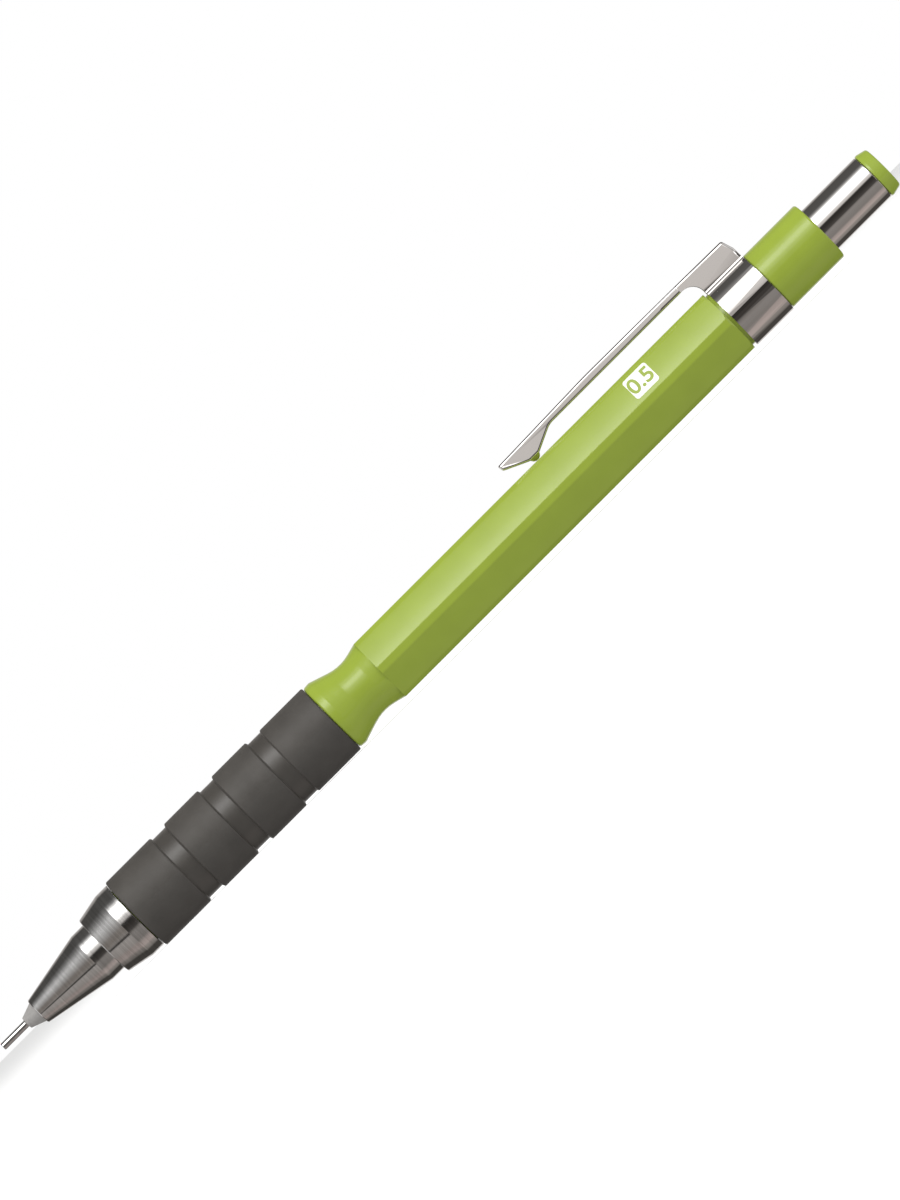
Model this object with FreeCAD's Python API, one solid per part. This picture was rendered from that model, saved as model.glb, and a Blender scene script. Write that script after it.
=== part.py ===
import FreeCAD, Part
import math
import os

# A mechanical drafting pencil for 0.5 mm lead, modelled piece by piece in millimetres.
#
# Every length along the pencil is a station: the distance from the front end of the guide pipe,
# measured back towards the push button. Radii are measured from the pencil's axis.
# put_in_frame() then lays the finished pieces down: +X runs from the writing end to the button,
# +Z up through the clip, and the origin is below the middle, on the surface the pencil lies on.

# ---- overall --------------------------------------------------------------------------------
LENGTH = 146.3            # guide pipe to button end
GRIP_R = 5.14             # fattest part of the rubber grip; the pencil lies on it
SHEET = 0.4               # clip sheet thickness
RUN_GAP = 0.05            # radial play of a running fit
LEAD_R = 0.28             # a 0.5 mm lead measures 0.56 mm
LEAD_LENGTH = 60.0

# ---- stations of the nose -------------------------------------------------------------------
PIPE_R = 0.46
PIPE_BORE_R = 0.30
PIPE_FLARE = 3.86          # the pipe flares here into the thicker shank that the plug holds
PIPE_SHANK_R = 0.62
PIPE_OUT = 3.96           # length of pipe that shows
PIPE_END = 8.2
PLUG_SHANK_R = 1.25
PLUG_END = 10.2
CONE_FRONT = 5.83
CONE_FRONT_R = 1.76
SMALL_STAGE_R = 3.49
SMALL_STAGE = (14.8, 16.8)
BIG_STAGE_R = 4.835
BIG_STAGE = (20.15, 21.98)
BIG_STAGE_FRONT_R = 4.16

# ---- stations of the mechanism --------------------------------------------------------------
STROKE = 3.6              # push button travel
RING_TRAVEL = 0.65        # how far the clutch ring follows the chuck before its stop
RING_STOP = 15.4
RING = (16.1, 19.0)
RING_R = 1.88
CHUCK_FRONT = 14.4
CHUCK_HEAD_R = 1.52
CHUCK_STEM_R = 1.0
CHUCK_END = 38.0
JAW_SLIT = 0.22
JAW_SLIT_END = 27.0
HOUSING_NOSE = (19.0, 22.3)
HOUSING_SHOULDER = (29.0, 30.0)
HOUSING_END = 35.9
SPRING = (23.0, 35.0)
SPRING_TURNS = 10
SPRING_MEAN_R = 1.5
WIRE_R = 0.18
CONNECTOR_SHOULDER = (39.6, 40.4)
CONNECTOR_END = 45.4
TANK_R = 2.5
TANK_BORE_R = 1.9
TANK_END = 139.6

# ---- barrel, grip and clip ------------------------------------------------------------------
CORE_R = 4.0              # round front of the barrel, inside the grip
THREAD_R = 3.2
THREAD_PITCH = 1.0
THREAD_DEPTH = 0.38
GRIP = (22.1, 54.6)
GROOVE_R = 4.78
NECK_START = 54.65
HEX = (62.65, 120.65)
HEX_FLATS = 8.66          # across the flats
HEX_CORNER_FLAT = 0.95    # narrow flat on each corner of the hexagon
HEX_EDGE_R = 0.35
CLIP_SEAT = (121.0, 127.2)
CLIP_SEAT_R = 3.98
TAIL_R = 4.21
TAIL_END = 135.75
MAIN_BORE_R = 2.75
BUTTON_BORE = 124.5       # station where the button's wider bore starts

CLIP_RING = (121.1, 127.1)
CLIP_WIDTH = 2.8
CLIP_BEND = 119.0         # where the arm starts to flex

# ---- push button and eraser -----------------------------------------------------------------
BUTTON_R = 3.12
BUTTON_WALL = 0.35
BUTTON = (128.2, 144.7)
CAP_R = 3.2
CAP_TOP_R = 2.88
ERASER_R = 1.7
ERASER = (133.8, 142.6)
FERRULE_FRONT = 133.6

AXIS = FreeCAD.Vector(1, 0, 0)
ORIGIN = FreeCAD.Vector(0, 0, 0)


# ---- drawing helpers ------------------------------------------------------------------------
def point(station, radius):
    return FreeCAD.Vector(station, 0, radius)


def rounded_loop(places, fillets):
    """Closed wire through the places, with a tangent arc at each one that has a fillet."""
    count = len(places)
    ends = []
    for i, (here, fillet) in enumerate(zip(places, fillets)):
        if fillet == 0.0:
            ends.append((here, None, here))
            continue
        back = (places[i - 1] - here).normalize()
        ahead = (places[(i + 1) % count] - here).normalize()
        half = back.getAngle(ahead) / 2
        reach = fillet / math.tan(half)
        middle = (back + ahead).normalize() * (fillet / math.sin(half) - fillet)
        ends.append((here + back * reach, here + middle, here + ahead * reach))
    edges = []
    for i, (first, middle, last) in enumerate(ends):
        if middle is not None:
            edges.append(Part.Arc(first, middle, last).toShape())
        following = ends[(i + 1) % count][0]
        if last.distanceToPoint(following) > 1e-6:
            edges.append(Part.LineSegment(last, following).toShape())
    return Part.Wire(edges)


def rounded_wire(corners):
    """Closed side-view wire through (station, radius[, fillet]) corners."""
    places = [point(c[0], c[1]) for c in corners]
    return rounded_loop(places, [c[2] if len(c) > 2 else 0.0 for c in corners])


def turned(corners):
    """Solid of revolution about the pencil's axis."""
    solid = Part.Face(rounded_wire(corners)).revolve(ORIGIN, AXIS, 360)
    return Part.Solid(solid) if solid.ShapeType == "Shell" else solid


def rod(start, end, radius):
    return Part.makeCylinder(radius, end - start, FreeCAD.Vector(start, 0, 0), AXIS)


def tube(start, end, radius, bore):
    return rod(start, end, radius).cut(rod(start, end, bore))


def side_plate(corners, width):
    """Plate with a side-view outline, centred on the pencil's middle plane."""
    plate = Part.Face(rounded_wire(corners)).extrude(FreeCAD.Vector(0, width, 0))
    plate.translate(FreeCAD.Vector(0, -width / 2, 0))
    return plate


# ---- nose -----------------------------------------------------------------------------------
def guide_pipe():
    return turned([
        (0, PIPE_BORE_R, 0.04), (0, PIPE_R, 0.08), (PIPE_FLARE, PIPE_R),
        (PIPE_OUT, PIPE_SHANK_R), (PIPE_END, PIPE_SHANK_R), (PIPE_END, PIPE_BORE_R),
    ])


def nose_plug():
    pocket_r = 0.95
    pocket_start = 8.4
    return turned([
        (PIPE_OUT, PIPE_SHANK_R), (PIPE_OUT, 0.78, 0.1), (CONE_FRONT, 1.46),
        (CONE_FRONT, PLUG_SHANK_R), (PLUG_END, PLUG_SHANK_R), (PLUG_END, pocket_r),
        (pocket_start, pocket_r), (pocket_start, 0.36), (PIPE_END, 0.36),
        (PIPE_END, PIPE_SHANK_R),
    ])


def lead_retainer():
    return turned([
        (8.4, LEAD_R + 0.01), (8.4, 0.95), (10.1, 0.95), (10.1, 0.6), (9.5, LEAD_R + 0.01),
    ])


def front_cone():
    stub_end = HOUSING_SHOULDER[0]
    cone = turned([
        (CONE_FRONT, PLUG_SHANK_R), (CONE_FRONT, CONE_FRONT_R, 0.22),
        (SMALL_STAGE[0], SMALL_STAGE_R, 0.3), (SMALL_STAGE[1], SMALL_STAGE_R),
        (SMALL_STAGE[1], BIG_STAGE_FRONT_R, 0.16),
        (BIG_STAGE[0], BIG_STAGE_R, 0.3), (BIG_STAGE[1], BIG_STAGE_R, 0.08),
        (BIG_STAGE[1], THREAD_R - THREAD_DEPTH), (BIG_STAGE[1] + 0.7, THREAD_R - THREAD_DEPTH),
        (BIG_STAGE[1] + 1.0, THREAD_R), (stub_end - 0.3, THREAD_R), (stub_end, THREAD_R - 0.3),
        (stub_end, 2.6), (22.1, 2.6), (22.1, 1.98), (RING_STOP, 1.98), (RING_STOP, 1.7),
        (PLUG_END, 1.7), (PLUG_END, PLUG_SHANK_R),
    ])
    return cone.cut(thread_groove(BIG_STAGE[1] + 0.35, stub_end + 1.2))


def thread_groove(start, end):
    """Right-hand V groove cut into the cone's stub."""
    root = THREAD_R - THREAD_DEPTH
    lip = THREAD_R + 0.15
    half = 0.4 * THREAD_PITCH
    helix = Part.makeHelix(THREAD_PITCH, end - start, THREAD_R)
    profile = Part.makePolygon([
        FreeCAD.Vector(lip, 0, -half), FreeCAD.Vector(root, 0, -0.05),
        FreeCAD.Vector(root, 0, 0.05), FreeCAD.Vector(lip, 0, half), FreeCAD.Vector(lip, 0, -half),
    ])
    groove = Part.Wire(helix).makePipeShell([profile], True, True)
    groove.rotate(ORIGIN, FreeCAD.Vector(0, 1, 0), 90)
    groove.translate(FreeCAD.Vector(start, 0, 0))
    return groove


# ---- lead-advance mechanism -----------------------------------------------------------------
def chuck_taper(station):
    """Radius of the chuck head's closing taper at a station."""
    return 1.5 - 0.222 * (station - 15.7)


def chuck():
    bore = LEAD_R + 0.012
    body = turned([
        (CHUCK_FRONT, bore, 0.0), (CHUCK_FRONT, 1.3, 0.12), (15.0, CHUCK_HEAD_R, 0.1),
        (15.6, CHUCK_HEAD_R, 0.1), (17.5, chuck_taper(17.5)), (17.9, CHUCK_STEM_R),
        (CHUCK_END, CHUCK_STEM_R), (CHUCK_END, 0.5), (18.4, 0.5), (18.0, bore),
    ])
    for jaw in range(3):
        slit = Part.makeBox(JAW_SLIT_END - CHUCK_FRONT + 1, JAW_SLIT, 2)
        slit.translate(FreeCAD.Vector(CHUCK_FRONT - 1, -JAW_SLIT / 2, 0.05))
        slit.rotate(ORIGIN, AXIS, 120 * jaw + 60)
        body = body.cut(slit)
    return body


def chuck_ring():
    play = 0.02
    return turned([
        (RING[0], chuck_taper(RING[0]) + play), (RING[0], RING_R, 0.15),
        (RING[1], RING_R, 0.15), (RING[1], 1.12), (17.6, 1.12),
        (17.4, chuck_taper(17.4) + play),
    ])


def spring_housing():
    nose_r, body_r, shoulder_r, rear_r, chamber_r = 1.9, 2.5, 3.15, 2.6, 1.95
    stem_hole_r = CHUCK_STEM_R + 0.1
    return turned([
        (HOUSING_NOSE[0], stem_hole_r), (HOUSING_NOSE[0], nose_r, 0.15),
        (HOUSING_NOSE[1], nose_r), (HOUSING_NOSE[1], body_r, 0.2),
        (HOUSING_SHOULDER[0], body_r), (HOUSING_SHOULDER[0], shoulder_r),
        (HOUSING_SHOULDER[1], shoulder_r), (HOUSING_SHOULDER[1], rear_r),
        (HOUSING_END, rear_r, 0.15), (HOUSING_END, chamber_r),
        (SPRING[0], chamber_r), (SPRING[0], stem_hole_r),
    ])


def return_spring():
    """Coil spring on the chuck's stem, its wire a twelve-sided section, clear of both seats."""
    length = SPRING[1] - SPRING[0] - 2 * WIRE_R
    helix = Part.makeHelix(length / SPRING_TURNS, length, SPRING_MEAN_R)
    section = Part.makePolygon([
        FreeCAD.Vector(
            SPRING_MEAN_R + WIRE_R * math.cos(math.radians(30 * k)), 0,
            WIRE_R * math.sin(math.radians(30 * k)))
        for k in range(13)
    ])
    coil = Part.Wire(helix).makePipeShell([section], True, True)
    coil.rotate(ORIGIN, FreeCAD.Vector(0, 1, 0), 90)
    coil.translate(FreeCAD.Vector(SPRING[0] + WIRE_R, 0, 0))
    return coil


def connector():
    front_r = 1.85
    return turned([
        (SPRING[1], CHUCK_STEM_R), (SPRING[1], front_r, 0.1), (CONNECTOR_SHOULDER[0], front_r),
        (CONNECTOR_SHOULDER[0], 2.45), (CONNECTOR_SHOULDER[1], 2.45),
        (CONNECTOR_SHOULDER[1], TANK_BORE_R), (CONNECTOR_END, TANK_BORE_R),
        (CONNECTOR_END, 1.6), (42.2, 0.45), (CHUCK_END, 0.45), (CHUCK_END, CHUCK_STEM_R),
    ])


def lead_tank():
    start = CONNECTOR_SHOULDER[1]
    return turned([
        (start, TANK_BORE_R), (start, TANK_R, 0.15), (TANK_END, TANK_R, 0.2),
        (TANK_END, TANK_BORE_R),
    ])


def lead_in_chuck():
    return rod(0.35, 0.35 + LEAD_LENGTH, LEAD_R)


def spare_leads():
    """Three leads lying side by side in the bottom of the tank."""
    bed = TANK_BORE_R - LEAD_R - 0.02
    leads = []
    for side in (-0.6, 0.0, 0.6):
        lead = rod(61.0, 61.0 + LEAD_LENGTH, LEAD_R)
        lead.translate(FreeCAD.Vector(0, side, -math.sqrt(bed ** 2 - side ** 2)))
        leads.append(lead)
    return Part.makeCompound(leads)


# ---- barrel and grip ------------------------------------------------------------------------
def hexagon_bar(start, end):
    """Hexagonal bar with a flat facing +Z and narrow flats on its six corners."""
    corner_distance = HEX_FLATS / 2 / math.cos(math.pi / 6)
    facet_distance = corner_distance - HEX_CORNER_FLAT / 2 / math.tan(math.pi / 3)
    places = []
    for k in range(6):
        angle = math.radians(60 * k)
        outward = FreeCAD.Vector(0, math.cos(angle), math.sin(angle))
        along = FreeCAD.Vector(0, -math.sin(angle), math.cos(angle))
        middle = FreeCAD.Vector(start, 0, 0) + outward * facet_distance
        places.append(middle - along * (HEX_CORNER_FLAT / 2))
        places.append(middle + along * (HEX_CORNER_FLAT / 2))
    section = rounded_loop(places, [HEX_EDGE_R] * len(places))
    return Part.Face(section).extrude(FreeCAD.Vector(end - start, 0, 0))


def barrel_outline():
    """Corners of the barrel's round surfaces, from the threaded mouth round to the bore."""
    return [
        (BIG_STAGE[1], THREAD_R + RUN_GAP, 0.0), (BIG_STAGE[1], CORE_R, 0.15),
        (NECK_START, CORE_R), (NECK_START, 4.78, 0.3), (55.6, 4.86, 0.9), (59.6, 3.55, 5.6),
        (HEX[0], 4.34, 0.0), (HEX[0] + 0.1, CLIP_SEAT_R), (CLIP_SEAT[1], CLIP_SEAT_R),
        (CLIP_SEAT[1], TAIL_R, 0.12), (TAIL_END, TAIL_R, 0.3),
        (TAIL_END, BUTTON_R + RUN_GAP, 0.08),
        (BUTTON_BORE, BUTTON_R + RUN_GAP), (BUTTON_BORE, MAIN_BORE_R),
        (HOUSING_SHOULDER[1], MAIN_BORE_R), (HOUSING_SHOULDER[1], THREAD_R + RUN_GAP),
    ]


def barrel():
    bar = hexagon_bar(HEX[0], HEX[1])
    trim_r = HEX_FLATS / 2 / math.cos(math.pi / 6)
    trim = turned([
        (HEX[0], 0), (HEX[0], trim_r), (HEX[1] - 0.5, trim_r),
        (HEX[1], trim_r - 0.55), (HEX[1], 0),
    ])
    bar = bar.common(trim).cut(rod(HEX[0], HEX[1], MAIN_BORE_R))
    return turned(barrel_outline()).fuse(bar).removeSplitter()


def grip_sleeve():
    """Rubber sleeve with four raised lands and three grooves."""
    front_r, mid_r, rear_r = 5.11, GRIP_R, 4.99
    lands = ((22.1, 29.65, front_r), (31.75, 37.55, mid_r), (39.65, 45.5, mid_r), (47.5, 54.6, rear_r))
    edge, slope = 0.22, 0.14
    outline = [(GRIP[0], CORE_R), (GRIP[0], front_r - 0.12, 0.1)]
    for start, end, radius in lands:
        outline.append((start + slope, radius, edge))
        outline.append((end - slope, radius, edge))
        if end < GRIP[1]:
            outline.append((end, GROOVE_R, 0.1))
        following = [land[0] for land in lands if land[0] > end]
        if following:
            outline.append((following[0], GROOVE_R, 0.1))
    outline.append((GRIP[1], rear_r - 0.12, 0.1))
    outline.append((GRIP[1], CORE_R))
    return turned(outline)


# ---- clip -----------------------------------------------------------------------------------
def clip_top(station):
    """Height of the clip's outer surface above the axis: a shallow bow, highest over its middle."""
    return 7.5 - 0.00105 * (station - 109.0) ** 2


def seam_fillet(side):
    """Hollow corner between the band and one standing wall, as a strip along the band."""
    fillet, inset = 0.45, 0.15
    wall, ring = CLIP_WIDTH / 2, CLIP_SEAT_R + SHEET
    centre = FreeCAD.Vector(0, wall + fillet, math.sqrt((ring + fillet) ** 2 - (wall + fillet) ** 2))
    on_wall = FreeCAD.Vector(0, wall, centre.z)
    on_ring = centre * (ring / (ring + fillet))
    towards = ((on_wall - centre) + (on_ring - centre)).normalize()
    floor = ring - inset
    outline = Part.Wire([
        Part.Arc(on_wall, centre + towards * fillet, on_ring).toShape(),
        Part.LineSegment(on_ring, on_ring * (floor / ring)).toShape(),
        Part.LineSegment(
            on_ring * (floor / ring),
            FreeCAD.Vector(0, wall - inset, math.sqrt(floor ** 2 - (wall - inset) ** 2))).toShape(),
        Part.LineSegment(
            FreeCAD.Vector(0, wall - inset, math.sqrt(floor ** 2 - (wall - inset) ** 2)),
            FreeCAD.Vector(0, wall - inset, centre.z)).toShape(),
        Part.LineSegment(FreeCAD.Vector(0, wall - inset, centre.z), on_wall).toShape(),
    ])
    strip = Part.Face(outline).extrude(FreeCAD.Vector(CLIP_RING[1] - CLIP_RING[0], 0, 0))
    strip.translate(FreeCAD.Vector(CLIP_RING[0], 0, 0))
    return strip if side > 0 else strip.mirror(ORIGIN, FreeCAD.Vector(0, 1, 0))


def clip_base():
    """Band round the barrel whose two ends stand up as walls, roofed over to carry the arm."""
    top = clip_top(CLIP_BEND)
    walls = side_plate([
        (CLIP_BEND, 6.35), (CLIP_BEND, top), (126.6, 7.3, 0.35), (127.1, 5.7, 0.6),
        (CLIP_RING[1], 3.6), (CLIP_RING[0], 3.6), (CLIP_RING[0], 6.35, 1.75),
    ], CLIP_WIDTH)
    hollow = side_plate([
        (CLIP_BEND - 1, 0), (CLIP_BEND - 1, top - SHEET), (126.4, 7.3 - SHEET),
        (CLIP_RING[1] + 1, 7.3 - SHEET), (CLIP_RING[1] + 1, 0),
    ], CLIP_WIDTH - 2 * SHEET)
    outer_edges = [
        e for e in walls.Edges
        if abs(abs(e.CenterOfMass.y) - CLIP_WIDTH / 2) < 0.01 and e.CenterOfMass.z > 7.3
        and abs(e.tangentAt(e.FirstParameter).x) > 0.99
    ]
    walls = walls.makeFillet(0.35, outer_edges).cut(hollow)
    band = tube(CLIP_RING[0], CLIP_RING[1], CLIP_SEAT_R + SHEET, CLIP_SEAT_R + 0.01)
    slot = Part.makeBox(20, CLIP_WIDTH - 2 * SHEET, 4)
    slot.translate(FreeCAD.Vector(CLIP_RING[0] - 5, SHEET - CLIP_WIDTH / 2, 3))
    base = band.cut(slot).fuse(walls.cut(rod(CLIP_RING[0], CLIP_RING[1], CLIP_SEAT_R + 0.1)))
    return base.fuse([seam_fillet(-1), seam_fillet(1)]).removeSplitter()


def clip_arm():
    """Channel-section arm with a fin-shaped foot whose rounded heel presses on the barrel."""
    flange = 6.34
    tip = 89.3
    mid = (tip + CLIP_BEND) / 2
    outline = [
        (CLIP_BEND, clip_top(CLIP_BEND)), (CLIP_BEND, flange), (97.2, flange, 2.6),
        (94.0, 4.85, 0.8), (92.6, 4.85, 0.8), (tip + 0.15, 6.3, 0.3),
        (tip, clip_top(tip), 0.2), (mid, clip_top(mid) + 0.02, 60.0),
    ]
    blade = side_plate(outline, CLIP_WIDTH)
    top_edges = [
        e for e in blade.Edges
        if abs(abs(e.CenterOfMass.y) - CLIP_WIDTH / 2) < 0.01
        and e.CenterOfMass.z > 7.1 and abs(e.tangentAt(e.FirstParameter).x) > 0.9
    ]
    blade = blade.makeFillet(0.3, top_edges)
    hollow = side_plate([
        (tip + SHEET, 3.0), (tip + SHEET, clip_top(tip) - SHEET),
        (mid, clip_top(mid) - SHEET), (CLIP_BEND + 1, clip_top(CLIP_BEND) - SHEET),
        (CLIP_BEND + 1, 3.0),
    ], CLIP_WIDTH - 2 * SHEET)
    heel = Part.makeCylinder(
        0.75, CLIP_WIDTH - 2 * SHEET,
        FreeCAD.Vector(93.3, -(CLIP_WIDTH / 2 - SHEET), HEX_FLATS / 2 + 0.77),
        FreeCAD.Vector(0, 1, 0))
    web = side_plate([
        (92.9, 5.2), (92.9, 7.0), (93.7, 7.0), (93.7, 5.2),
    ], CLIP_WIDTH - 2 * SHEET)
    return blade.cut(hollow).fuse([heel, web]).removeSplitter()


# ---- push button, eraser --------------------------------------------------------------------
def button_tube():
    bore = BUTTON_R - BUTTON_WALL
    return turned([
        (BUTTON[0], bore), (BUTTON[0], BUTTON_R, 0.12), (BUTTON[1], BUTTON_R, 0.2),
        (BUTTON[1], bore),
    ])


def button_cap():
    """Green end cap with a long skirt that lines the metal tube and grips the lead tank."""
    skirt_r = BUTTON_R - BUTTON_WALL
    stop = TANK_END + 0.35
    return turned([
        (BUTTON[0] + 1.3, TANK_R + 0.03), (BUTTON[0] + 1.3, skirt_r), (BUTTON[1], skirt_r),
        (BUTTON[1], CAP_R - 0.04, 0.05), (BUTTON[1] + 0.3, CAP_R, 0.12),
        (LENGTH, CAP_TOP_R, 0.3), (LENGTH, 0), (ERASER[1] + 0.6, 0), (ERASER[1] + 0.6, 2.0),
        (stop, 2.0), (stop, TANK_R + 0.03),
    ])


def eraser_ferrule():
    outer = TANK_BORE_R - 0.02
    wall = 0.18
    return turned([
        (FERRULE_FRONT, 0), (FERRULE_FRONT, outer, 0.15), (TANK_END, outer),
        (TANK_END, 2.3), (TANK_END + 0.28, 2.3), (TANK_END + 0.28, outer - wall),
        (FERRULE_FRONT + 0.2, outer - wall), (FERRULE_FRONT + 0.2, 0),
    ])


def eraser():
    return turned([
        (ERASER[0], 0), (ERASER[0], ERASER_R), (ERASER[1], ERASER_R, 0.25), (ERASER[1], 0),
    ])


# ---- output ---------------------------------------------------------------------------------
PIECES = {
    "guide_pipe": guide_pipe, "nose_plug": nose_plug, "lead_retainer": lead_retainer,
    "front_cone": front_cone, "chuck": chuck, "chuck_ring": chuck_ring,
    "spring_housing": spring_housing, "return_spring": return_spring, "connector": connector,
    "lead_tank": lead_tank, "lead_in_chuck": lead_in_chuck, "spare_leads": spare_leads,
    "barrel": barrel, "grip_sleeve": grip_sleeve, "clip_base": clip_base, "clip_arm": clip_arm,
    "button_tube": button_tube, "button_cap": button_cap, "eraser_ferrule": eraser_ferrule,
    "eraser": eraser,
}


def put_in_frame(shape):
    placed = shape.copy()
    placed.translate(FreeCAD.Vector(-LENGTH / 2, 0, GRIP_R))
    return placed


def main():
    os.makedirs("parts", exist_ok=True)
    for name, make in PIECES.items():
        shape = put_in_frame(make())
        shape.exportStep(f"parts/{name}.step")
        solids = len(shape.Solids)
        print(f"{name:16s} {solids} solid(s)  {shape.Volume:9.2f} mm3  valid {shape.isValid()}")


main()
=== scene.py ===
import bmesh
import bpy
import math
from mathutils import Matrix, Vector


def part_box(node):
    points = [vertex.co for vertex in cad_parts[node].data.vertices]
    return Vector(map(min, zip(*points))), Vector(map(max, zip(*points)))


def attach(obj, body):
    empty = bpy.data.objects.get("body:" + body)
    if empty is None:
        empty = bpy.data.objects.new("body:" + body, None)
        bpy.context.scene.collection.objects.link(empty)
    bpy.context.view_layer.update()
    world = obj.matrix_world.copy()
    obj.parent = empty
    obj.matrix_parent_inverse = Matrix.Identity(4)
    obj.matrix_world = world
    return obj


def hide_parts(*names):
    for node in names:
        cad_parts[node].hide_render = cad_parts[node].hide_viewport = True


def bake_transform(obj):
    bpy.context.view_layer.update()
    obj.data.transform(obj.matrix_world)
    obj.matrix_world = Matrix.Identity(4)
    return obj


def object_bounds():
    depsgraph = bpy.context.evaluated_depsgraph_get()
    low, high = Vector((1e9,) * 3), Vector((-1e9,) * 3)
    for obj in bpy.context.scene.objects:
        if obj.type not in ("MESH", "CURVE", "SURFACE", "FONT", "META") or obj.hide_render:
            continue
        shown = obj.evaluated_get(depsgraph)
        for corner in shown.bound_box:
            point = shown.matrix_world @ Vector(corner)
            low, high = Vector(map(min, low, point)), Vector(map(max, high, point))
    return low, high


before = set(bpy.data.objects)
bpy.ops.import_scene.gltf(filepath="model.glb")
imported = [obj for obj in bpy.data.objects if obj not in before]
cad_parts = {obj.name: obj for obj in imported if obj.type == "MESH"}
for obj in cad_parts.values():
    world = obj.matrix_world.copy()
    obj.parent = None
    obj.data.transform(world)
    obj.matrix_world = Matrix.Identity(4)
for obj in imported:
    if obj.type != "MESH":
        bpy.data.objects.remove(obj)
cad_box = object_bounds()

MM = 0.001
GRIP_LAND_EDGE = (4.84, 4.96)      # radii between which a groove gives way to a land
FLAT_FACE = 4.33                   # from the axis to each flat of the hexagon
TILE_STATION = 108.3
CLIP_BEND = 119.0                  # station where the clip's band and arm meet
CLIP_BEND_ZONE = (119.6, 116.0)    # stations near the bend between which edge loops are cut across the clip, stepping from the first
CLIP_BEND_CUTS = 12
CLIP_CUT_STEP = 0.35
CLIP_WALL_FOOT = 4.6               # height above the axis where the walls begin to lean
CLIP_WALL_LEAN = 6.2               # degrees
AXIS_Z = (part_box("barrel")[0][2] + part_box("barrel")[1][2]) / 2
TIP_X = cad_box[0][0]


def station(mm, height=0.0, across=0.0):
    """Point at a distance from the pipe's front end, a height above the axis and a side offset."""
    return Vector((TIP_X + mm * MM, across * MM, AXIS_Z + height * MM))


# ---- camera: level, square to the pencil, rolled so that the pencil runs up to the right ----
def make_camera():
    camera = bpy.data.cameras.new("camera")
    camera.lens = 319
    camera.sensor_width = 36
    camera.clip_start, camera.clip_end = 0.01, 50
    eye = bpy.data.objects.new("camera", camera)
    right = Vector((1, 0, -1)).normalized()
    up = Vector((1, 0, 1)).normalized()
    back = right.cross(up)
    place = Vector((0.00116, -1.25, AXIS_Z))
    eye.matrix_world = Matrix.Translation(place) @ Matrix((right, up, back)).transposed().to_4x4()
    bpy.context.scene.collection.objects.link(eye)
    bpy.context.scene.camera = eye


# ---- shader helpers -------------------------------------------------------------------------
class Shader:
    """A material with its Principled shader and short ways to wire procedural detail into it."""

    def __init__(self, name, colour, rough, metal=0.0, **sockets):
        self.material = bpy.data.materials.new(name)
        self.material.use_nodes = True
        self.tree = self.material.node_tree
        self.shader = self.tree.nodes["Principled BSDF"]
        self.set("Base Color", (*colour, 1))
        self.set("Roughness", rough)
        self.set("Metallic", metal)
        for socket, value in sockets.items():
            self.set(socket.replace("_", " "), value)

    def set(self, socket, value):
        self.shader.inputs[socket].default_value = value

    def node(self, kind, **inputs):
        node = self.tree.nodes.new(kind)
        for socket, value in inputs.items():
            self.feed(node, socket.replace("_", " "), value)
        return node

    def feed(self, node, socket, value):
        """Link a socket to another node's output, or set it to a constant."""
        target = node.inputs[socket]
        if isinstance(value, bpy.types.NodeSocket):
            self.tree.links.new(value, target)
        else:
            target.default_value = value

    def math(self, operation, a, b=0.0):
        node = self.tree.nodes.new("ShaderNodeMath")
        node.operation = operation
        self.feed(node, 0, a)
        self.feed(node, 1, b)
        return node.outputs[0]

    def place(self):
        """The surface point, in metres."""
        return self.node("ShaderNodeTexCoord").outputs["Object"]

    def radius(self, where):
        """Distance of the surface point from the pencil's axis."""
        split = self.node("ShaderNodeSeparateXYZ", Vector=where)
        height = self.math("SUBTRACT", split.outputs["Z"], AXIS_Z)
        across = self.math("MULTIPLY", split.outputs["Y"], split.outputs["Y"])
        upward = self.math("MULTIPLY", height, height)
        return self.math("SQRT", self.math("ADD", across, upward))

    def noise(self, vector, scale, detail=3.0, rough=0.5):
        node = self.node("ShaderNodeTexNoise", Vector=vector, Scale=scale, Detail=detail,
                         Roughness=rough)
        return node.outputs["Fac"]

    def stretched(self, vector, scales):
        node = self.node("ShaderNodeMapping", Vector=vector, Scale=scales)
        return node.outputs[0]

    def ramp(self, value, stops):
        node = self.node("ShaderNodeValToRGB", Fac=value)
        elements = node.color_ramp.elements
        while len(elements) < len(stops):
            elements.new(0.5)
        for element, (position, level) in zip(elements, stops):
            element.position = position
            element.color = (level, level, level, 1) if isinstance(level, (int, float)) \
                else (*level, 1)
        return node.outputs[0]

    def between(self, value, low, high):
        node = self.node("ShaderNodeMapRange", Value=value)
        node.inputs["To Min"].default_value = low
        node.inputs["To Max"].default_value = high
        return node.outputs[0]

    def bump(self, height, depth, strength=1.0, after=None):
        node = self.node("ShaderNodeBump", Height=height, Distance=depth, Strength=strength)
        if after is not None:
            self.feed(node, "Normal", after)
        self.feed(self.shader, "Normal", node.outputs[0])
        return node.outputs[0]


def glossy_green(name, colour, crown=0.0):
    """Injection-moulded plastic: faint flow mottling, fine orange peel, hairline scuffs."""
    s = Shader(name, colour, 0.12, IOR=1.5)
    where = s.place()
    mottle = s.noise(where, 260, 3)
    s.feed(s.shader, "Base Color", s.ramp(mottle, [
        (0.3, tuple(c * 0.97 for c in colour)), (0.7, tuple(min(1, c * 1.03) for c in colour))]))
    scuffs = s.noise(s.stretched(where, (60, 900, 900)), 3.0, 4, 0.6)
    s.feed(s.shader, "Roughness", s.between(s.ramp(scuffs, [(0.45, 0), (0.75, 1)]), 0.09, 0.17))
    peel = s.bump(s.noise(where, 1500, 2), 0.0000015, 0.5)
    if crown:
        s.bump(s.math("MULTIPLY", s.radius(where), -1.0), crown, 1.0, peel)
    return s.material


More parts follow.
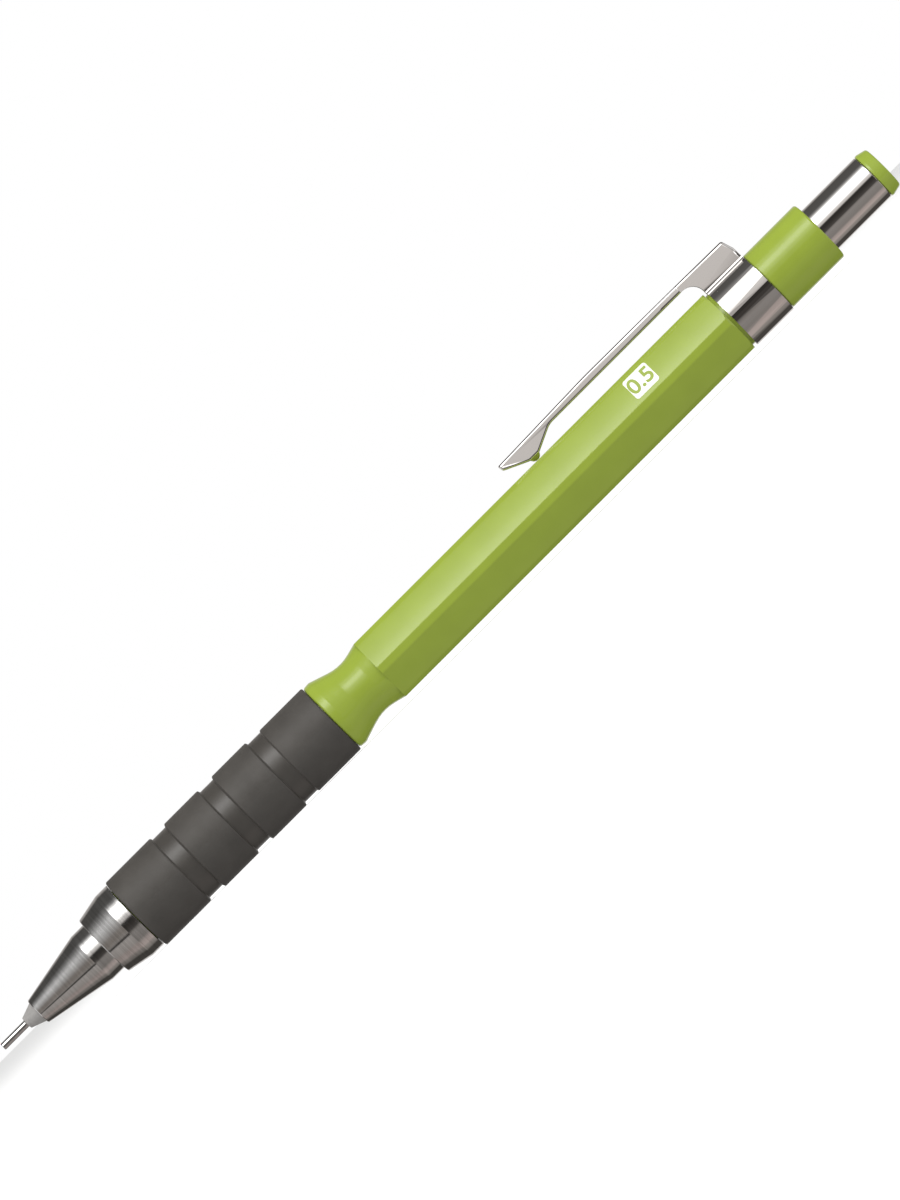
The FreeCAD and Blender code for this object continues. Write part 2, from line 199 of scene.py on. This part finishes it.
def rubber_grip(name):
    """Soft-touch rubber: matte lands with a fine grain, smoother glossier grooves, faint bloom."""
    s = Shader(name, (0.056, 0.051, 0.045), 0.5, IOR=1.5)
    where = s.place()
    land = s.node("ShaderNodeMapRange", Value=s.radius(where))
    land.inputs["From Min"].default_value = GRIP_LAND_EDGE[0] * MM
    land.inputs["From Max"].default_value = GRIP_LAND_EDGE[1] * MM
    on_land = land.outputs[0]
    bloom = s.noise(where, 300, 4, 0.6)
    s.feed(s.shader, "Base Color", s.ramp(bloom, [
        (0.3, (0.050, 0.0455, 0.040)), (0.7, (0.062, 0.0565, 0.050))]))
    fine = s.between(s.noise(where, 900, 3), -0.05, 0.05)
    s.feed(s.shader, "Roughness", s.math("ADD", s.between(on_land, 0.33, 0.56), fine))
    grain = s.noise(where, 5200, 3, 0.6)
    s.bump(s.math("MULTIPLY", grain, s.between(on_land, 0.3, 1.0)), 0.000022, 0.7)
    return s.material


def turned_metal(name, colour, rough, depth):
    """Lathe-turned metal: fine rings round the axis in colour, roughness and relief."""
    s = Shader(name, colour, rough, 1.0)
    where = s.place()
    rings = s.noise(s.stretched(where, (9000, 90, 90)), 1.0, 4, 0.65)
    broad = s.noise(s.stretched(where, (1500, 40, 40)), 1.0, 2, 0.5)
    mixed = s.math("ADD", s.math("MULTIPLY", rings, 0.65), s.math("MULTIPLY", broad, 0.35))
    s.feed(s.shader, "Base Color", s.ramp(mixed, [
        (0.3, tuple(c * 0.72 for c in colour)), (0.7, tuple(min(1, c * 1.12) for c in colour))]))
    s.feed(s.shader, "Roughness", s.between(mixed, rough * 0.7, rough * 1.4))
    s.bump(mixed, depth, 0.6)
    return s.material


def plated(name, colour, rough):
    """Bright plating: mirror finish with faint polishing haze, hairlines and a few rubbed spots."""
    s = Shader(name, colour, rough, 1.0)
    where = s.place()
    haze = s.noise(where, 420, 4, 0.6)
    lines = s.noise(s.stretched(where, (150, 2600, 2600)), 2.0, 3, 0.6)
    worn = s.math("MULTIPLY", s.ramp(haze, [(0.45, 0), (0.8, 1)]), s.ramp(lines, [(0.4, 0), (0.8, 1)]))
    s.feed(s.shader, "Roughness", s.between(worn, rough, rough + 0.16))
    s.feed(s.shader, "Base Color", s.ramp(haze, [
        (0.2, tuple(c * 0.97 for c in colour)), (0.8, colour)]))
    s.bump(s.noise(where, 700, 2), 0.0000015, 0.5)
    return s.material


def plain(name, colour, rough, grain, depth, metal=0.0):
    """Plain moulded or drawn stock with a fine grain in colour, roughness and relief."""
    s = Shader(name, colour, rough, metal)
    where = s.place()
    speck = s.noise(where, grain, 4, 0.6)
    s.feed(s.shader, "Base Color", s.ramp(speck, [
        (0.3, tuple(c * 0.9 for c in colour)), (0.7, tuple(min(1, c * 1.08) for c in colour))]))
    s.feed(s.shader, "Roughness", s.between(speck, max(0.05, rough - 0.08), rough + 0.08))
    s.bump(speck, depth, 0.6)
    return s.material


GREEN = (0.270, 0.350, 0.044)


def dress(node, material):
    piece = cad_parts[node]
    for slot in piece.material_slots:
        slot.link = "OBJECT"
        slot.material = material
    if not piece.material_slots:
        piece.data.materials.append(material)


def dress_everything():
    green = glossy_green("barrel_green", GREEN, crown=0.2)
    chrome = plated("clip_plate", (0.80, 0.775, 0.755), 0.05)
    brass = turned_metal("machined_brass", (0.80, 0.60, 0.27), 0.25, 0.000004)
    graphite = plain("graphite", (0.045, 0.045, 0.05), 0.38, 3000, 0.000004)
    looks = {
        "barrel": green,
        "grip_sleeve": rubber_grip("grip_rubber"),
        "clip_base": chrome, "clip_arm": chrome,
        "button_tube": plated("button_plate", (0.80, 0.775, 0.755), 0.045),
        "button_cap": glossy_green("cap_green", (0.28, 0.365, 0.048)),
        "front_cone": turned_metal("turned_cone", (0.70, 0.69, 0.68), 0.12, 0.000005),
        "guide_pipe": turned_metal("pipe_steel", (0.74, 0.73, 0.72), 0.18, 0.000002),
        "nose_plug": plain("nose_grey", (0.30, 0.29, 0.28), 0.45, 2500, 0.000004),
        "lead_retainer": plain("retainer_black", (0.02, 0.02, 0.02), 0.6, 2000, 0.000005),
        "chuck": brass, "chuck_ring": brass,
        "spring_housing": plain("housing_dark", (0.03, 0.03, 0.032), 0.45, 1200, 0.000004),
        "return_spring": plain("spring_wire", (0.55, 0.55, 0.55), 0.25, 2500, 0.000002, 1.0),
        "connector": plain("connector_white", (0.66, 0.66, 0.64), 0.42, 1200, 0.000004),
        "lead_tank": plain("tank_black", (0.02, 0.02, 0.022), 0.2, 500, 0.000002),
        "lead_in_chuck": graphite, "spare_leads": graphite,
        "eraser_ferrule": plated("ferrule_plate", (0.82, 0.81, 0.79), 0.16),
        "eraser": plain("eraser_white", (0.76, 0.755, 0.74), 0.75, 1500, 0.00002),
    }
    for node, material in looks.items():
        dress(node, material)
    one_piece_clip(chrome)
    sprung_coil(looks["return_spring"])


# ---- studio ---------------------------------------------------------------------------------
def emission_material(name, radiance):
    material = bpy.data.materials.new(name)
    material.use_nodes = True
    tree = material.node_tree
    tree.nodes.clear()
    glow = tree.nodes.new("ShaderNodeEmission")
    glow.inputs[0].default_value = (1, 1, 1, 1)
    glow.inputs[1].default_value = radiance
    out = tree.nodes.new("ShaderNodeOutputMaterial")
    tree.links.new(glow.outputs[0], out.inputs[0])
    return material


TENT_R = 0.6
# The reflection tent: angle about the pencil in degrees (0 faces the camera, 90 is overhead),
# radiance over the middle, which the square faces see, radiance over the ends, and colour.
TENT_KNOTS = [
    (-180, 0.80, 0.60, (1.0, 0.97, 0.95)), (-152, 0.75, 0.50, (1.0, 0.97, 0.95)),
    (-148, 0.07, 0.06, (1.0, 0.93, 0.85)), (-112, 0.07, 0.06, (1.0, 0.93, 0.85)),
    (-104, 0.26, 0.16, (1.0, 0.93, 0.87)), (-92, 0.34, 0.26, (1.0, 0.90, 0.84)),
    (-84, 0.50, 0.40, (1.0, 0.86, 0.81)), (-70, 0.42, 0.36, (1.0, 0.86, 0.81)),
    (-60, 0.24, 0.36, (1.0, 0.93, 0.88)), (-32, 0.28, 0.42, (1.0, 0.94, 0.90)),
    (-30, 0.27, 0.03, (1.0, 0.93, 0.88)), (-25, 0.20, 0.03, (1.0, 0.93, 0.88)),
    (-23, 0.08, 0.30, (1.0, 0.93, 0.88)), (-8, 0.045, 0.24, (1.0, 0.90, 0.82)),
    (5, 0.03, 0.27, (1.0, 0.92, 0.86)), (8, 0.12, 0.30, (1.0, 0.95, 0.91)),
    (11, 0.62, 0.34, (1.0, 0.96, 0.93)), (20, 0.80, 0.44, (1.0, 0.98, 0.96)),
    (30, 2.2, 0.55, (1.0, 1.0, 0.99)), (40, 4.6, 0.64, (1.0, 1.0, 1.0)),
    (50, 4.6, 0.60, (1.0, 1.0, 1.0)), (58, 2.2, 0.45, (1.0, 1.0, 1.0)),
    (66, 1.1, 0.32, (1.0, 1.0, 0.99)), (74, 0.32, 0.22, (1.0, 0.99, 0.98)),
    (84, 0.11, 0.14, (1.0, 0.99, 0.97)), (92, 0.10, 0.09, (1.0, 0.98, 0.94)),
    (135, 0.09, 0.08, (1.0, 0.97, 0.93)), (142, 0.34, 0.30, (1.0, 0.95, 0.91)),
    (180, 0.80, 0.60, (1.0, 0.97, 0.95)),
]
TENT_STATIONS = [(-1.2, 1), (-0.27, 1), (-0.17, 0), (0.17, 0), (0.27, 1), (1.2, 1)]


def tent_colour(angle, at_end):
    for (a, *low), (b, *high) in zip(TENT_KNOTS, TENT_KNOTS[1:]):
        if a <= angle <= b:
            t = (angle - a) / (b - a)
            radiance = low[at_end] * (1 - t) + high[at_end] * t
            return [radiance * (low[2][c] * (1 - t) + high[2][c] * t) for c in range(3)] + [1]
    return [0, 0, 0, 1]


def make_tent():
    """Bands of light and shade round the pencil, seen only in its reflections."""
    columns = len(TENT_STATIONS)
    angles = range(-180, 181, 2)
    vertices, colours, faces = [], [], []
    for row, degrees in enumerate(angles):
        angle = math.radians(degrees)
        for column, (x, at_end) in enumerate(TENT_STATIONS):
            vertices.append((x, -TENT_R * math.cos(angle), AXIS_Z + TENT_R * math.sin(angle)))
            colours += tent_colour(degrees, at_end)
            if row and column:
                corner = row * columns + column
                faces.append((corner, corner - 1, corner - columns - 1, corner - columns))
    mesh = bpy.data.meshes.new("tent")
    mesh.from_pydata(vertices, [], faces)
    glow = mesh.attributes.new("glow", "FLOAT_COLOR", "POINT")
    glow.data.foreach_set("color", colours)
    material = emission_material("tent", 1.0)
    attribute = material.node_tree.nodes.new("ShaderNodeAttribute")
    attribute.attribute_name = "glow"
    emission = next(n for n in material.node_tree.nodes if n.type == "EMISSION")
    material.node_tree.links.new(attribute.outputs["Color"], emission.inputs[0])
    mesh.materials.append(material)
    tent = bpy.data.objects.new("tent", mesh)
    bpy.context.scene.collection.objects.link(tent)
    tent.visible_camera = False
    tent.visible_diffuse = False
    tent.visible_shadow = False
    tent.visible_transmission = False


def area_light(name, place, size, power, target):
    light = bpy.data.lights.new(name, "AREA")
    light.shape = "RECTANGLE"
    light.size, light.size_y = size
    light.energy = power
    lamp = bpy.data.objects.new(name, light)
    lamp.location = place
    lamp.rotation_mode = "QUATERNION"
    lamp.rotation_quaternion = (Vector(target) - Vector(place)).to_track_quat("-Z", "Y")
    lamp.visible_glossy = False
    bpy.context.scene.collection.objects.link(lamp)


def make_world():
    bpy.context.scene.view_settings.view_transform = "Standard"
    world = bpy.data.worlds.new("studio")
    world.use_nodes = True
    background = world.node_tree.nodes["Background"]
    background.inputs[0].default_value = (1.0, 1.0, 1.0, 1)
    background.inputs[1].default_value = 0.80
    bpy.context.scene.world = world


def make_floor():
    mesh = bpy.data.meshes.new("floor")
    half = 6.0
    mesh.from_pydata([(-half, -half, 0), (half, -half, 0), (half, half, 0), (-half, half, 0)],
                     [], [(0, 1, 2, 3)])
    floor = bpy.data.objects.new("floor", mesh)
    paper = Shader("floor_paper", (0.94, 0.94, 0.935), 0.9)
    where = paper.place()
    fibres = paper.noise(where, 300, 5, 0.6)
    paper.feed(paper.shader, "Base Color", paper.ramp(fibres, [
        (0.3, (0.93, 0.93, 0.925)), (0.7, (0.95, 0.95, 0.945))]))
    mesh.materials.append(paper.material)
    bpy.context.scene.collection.objects.link(floor)
    floor.visible_glossy = False
    floor.visible_diffuse = False


def make_dome():
    """White backdrop all round, seen only by the camera."""
    mesh = bpy.data.meshes.new("dome")
    shell = bmesh.new()
    bmesh.ops.create_uvsphere(shell, u_segments=32, v_segments=16, radius=5.0)
    shell.to_mesh(mesh)
    shell.free()
    mesh.materials.append(emission_material("dome", 1.0))
    dome = bpy.data.objects.new("dome", mesh)
    bpy.context.scene.collection.objects.link(dome)
    for rays in ("diffuse", "glossy", "transmission", "shadow", "volume_scatter"):
        setattr(dome, "visible_" + rays, False)


def make_studio():
    make_world()
    make_floor()
    make_dome()
    make_tent()
    area_light("key", (0.0, -0.75, 1.15), (1.6, 0.8), 16.0, (0, 0, 0))


# ---- clip -----------------------------------------------------------------------------------
def one_piece_clip(material):
    """The clip's band and arm as one continuous sheet whose standing walls lean in slightly."""
    bend = station(CLIP_BEND).x
    lean = math.tan(math.radians(CLIP_WALL_LEAN))
    lean_from = station(0, CLIP_WALL_FOOT).z
    form = bmesh.new()
    for node in ("clip_base", "clip_arm"):
        form.from_mesh(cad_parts[node].data)
    bmesh.ops.remove_doubles(form, verts=form.verts, dist=0.002 * MM)
    at_bend = [f for f in form.faces if all(abs(v.co.x - bend) < 0.001 * MM for v in f.verts)]
    bmesh.ops.delete(form, geom=at_bend, context="FACES")
    rim = [v for v in form.verts if abs(v.co.x - bend) < 0.001 * MM]
    bmesh.ops.remove_doubles(form, verts=rim, dist=0.06 * MM)
    for k in range(CLIP_BEND_CUTS):
        bmesh.ops.bisect_plane(
            form, geom=form.verts[:] + form.edges[:] + form.faces[:],
            plane_co=station(CLIP_BEND_ZONE[0] - CLIP_CUT_STEP * k), plane_no=(1, 0, 0))
    for vertex in form.verts:
        if vertex.co.z > lean_from:
            inward = lean * (vertex.co.z - lean_from)
            vertex.co.y -= math.copysign(min(inward, abs(vertex.co.y)), vertex.co.y)
    bmesh.ops.recalc_face_normals(form, faces=form.faces)
    mesh = bpy.data.meshes.new("clip_sheet")
    form.to_mesh(mesh)
    form.free()
    mesh.shade_smooth()
    mesh.set_sharp_from_angle(angle=math.radians(34))
    mesh.materials.clear()
    mesh.materials.append(material)
    clip = bpy.data.objects.new("clip_sheet", mesh)
    bpy.context.scene.collection.objects.link(clip)
    soften = clip.modifiers.new("soften", "WEIGHTED_NORMAL")
    soften.keep_sharp = True
    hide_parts("clip_base", "clip_arm")
    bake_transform(clip)


def sprung_coil(material):
    """The return spring, between its housing and the connector, as a copy of its CAD mesh."""
    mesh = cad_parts["return_spring"].data.copy()
    mesh.name = "spring_coil"
    mesh.materials.clear()
    mesh.materials.append(material)
    coil = bpy.data.objects.new("spring_coil", mesh)
    bpy.context.scene.collection.objects.link(coil)
    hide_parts("return_spring")
    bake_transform(coil)


# ---- lead-size tile -------------------------------------------------------------------------
def printed_tile():
    """White printed tile with the lead size on it in green, on the upper front flat."""
    normal = Vector((0, -math.cos(math.radians(30)), math.sin(math.radians(30))))
    along = Vector((1, 0, 0))
    up = normal.cross(along)
    basis = Matrix((along, up, normal)).transposed().to_4x4()

    def flat_place(lift):
        centre = station(TILE_STATION) + normal * (FLAT_FACE + lift) * MM + up * 0.22 * MM
        return Matrix.Translation(centre) @ basis

    width, height, corner, steps = 3.65, 3.15, 0.35, 6
    outline = []
    for quarter, (sx, sy) in enumerate(((1, 1), (-1, 1), (-1, -1), (1, -1))):
        for k in range(steps + 1):
            angle = math.radians(90 * quarter + 90 * k / steps)
            outline.append((
                (sx * (width / 2 - corner) + corner * math.cos(angle)) * MM,
                (sy * (height / 2 - corner) + corner * math.sin(angle)) * MM, 0))
    mesh = bpy.data.meshes.new("size_tile")
    count = len(outline)
    lower = [(x, y, -0.02 * MM) for x, y, _ in outline]
    sides = [(k, (k + 1) % count, count + (k + 1) % count, count + k) for k in range(count)]
    mesh.from_pydata(lower + outline, [], sides + [
        tuple(range(count, 2 * count)), tuple(reversed(range(count)))])
    tile = bpy.data.objects.new("size_tile", mesh)
    tile.matrix_world = flat_place(0.012)
    mesh.materials.append(plain("print_white", (0.86, 0.86, 0.84), 0.35, 2500, 0.000002))
    bpy.context.scene.collection.objects.link(tile)

    curve = bpy.data.curves.new("size_digits", "FONT")
    curve.body = "0.5"
    curve.size = 2.95 * MM
    curve.align_x, curve.align_y = "CENTER", "CENTER"
    curve.extrude = 0.008 * MM
    curve.offset = 0.055 * MM
    digits = bpy.data.objects.new("size_digits", curve)
    digits.matrix_world = flat_place(0.02)
    curve.materials.append(glossy_green("print_green", GREEN))
    bpy.context.scene.collection.objects.link(digits)
    for piece in (tile, digits):
        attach(piece, "barrel")


make_camera()
make_studio()
dress_everything()
printed_tile()
